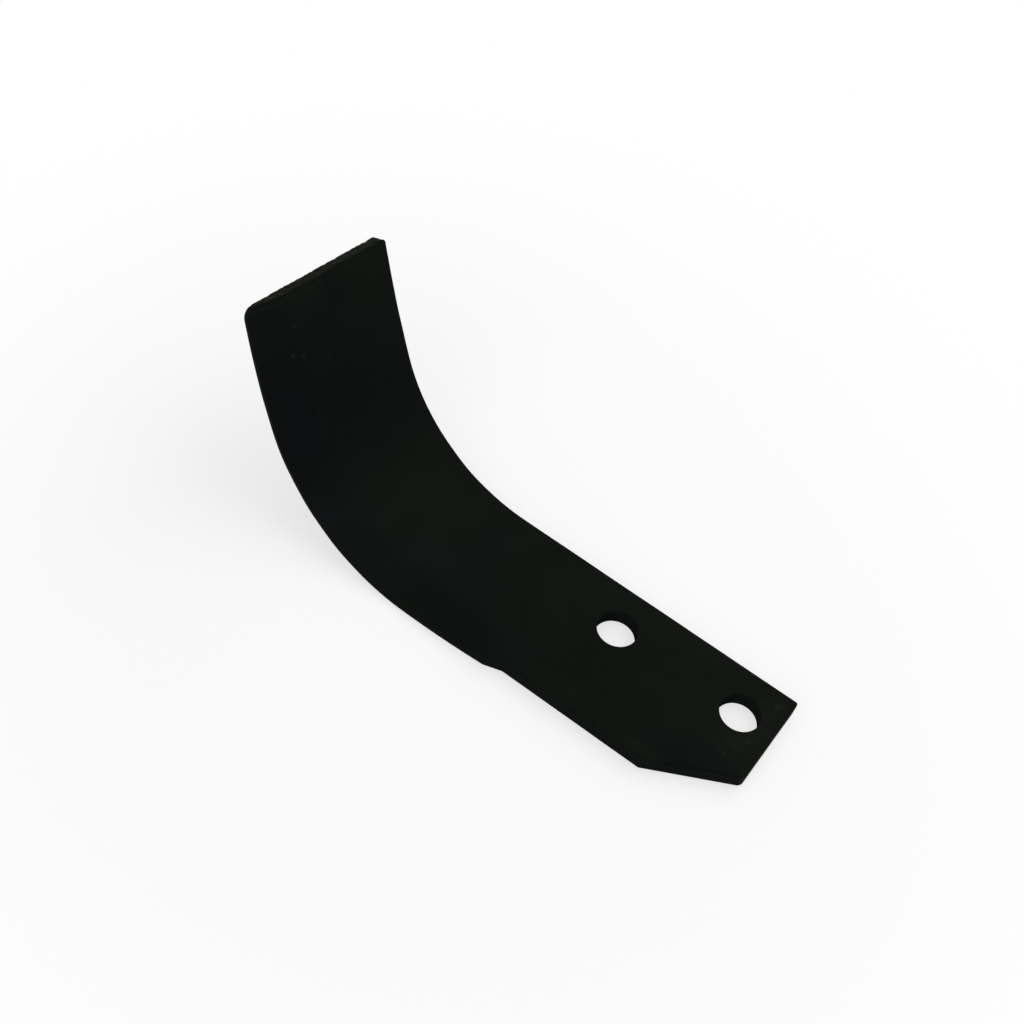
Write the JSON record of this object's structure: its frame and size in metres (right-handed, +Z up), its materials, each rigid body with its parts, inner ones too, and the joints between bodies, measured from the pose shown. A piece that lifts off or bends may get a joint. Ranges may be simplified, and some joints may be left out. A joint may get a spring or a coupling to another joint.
{
  "type": "rotary tiller blade",
  "caption": "Curved tiller blade: flat bolted shank with a clipped corner, a thinned outer cutting edge and a wing that curls up to one side.",
  "frame": {"origin": "on the seat, the flat side of the shank away from the wing, halfway between the centres of the bolt holes", "axes": "+X along the shank to its free end, +Y to the back edge, +Z up from the seat to the side that the wing curls to; the blade lies on its seat as it rests on a floor"},
  "size_m": [0.2387, 0.0769, 0.0919],
  "materials": {
    "black_paint": "thin satin black paint over forged steel"
  },
  "bodies": {
    "root": {"tiller_blade": "black_paint"}
  },
  "joints": []
}
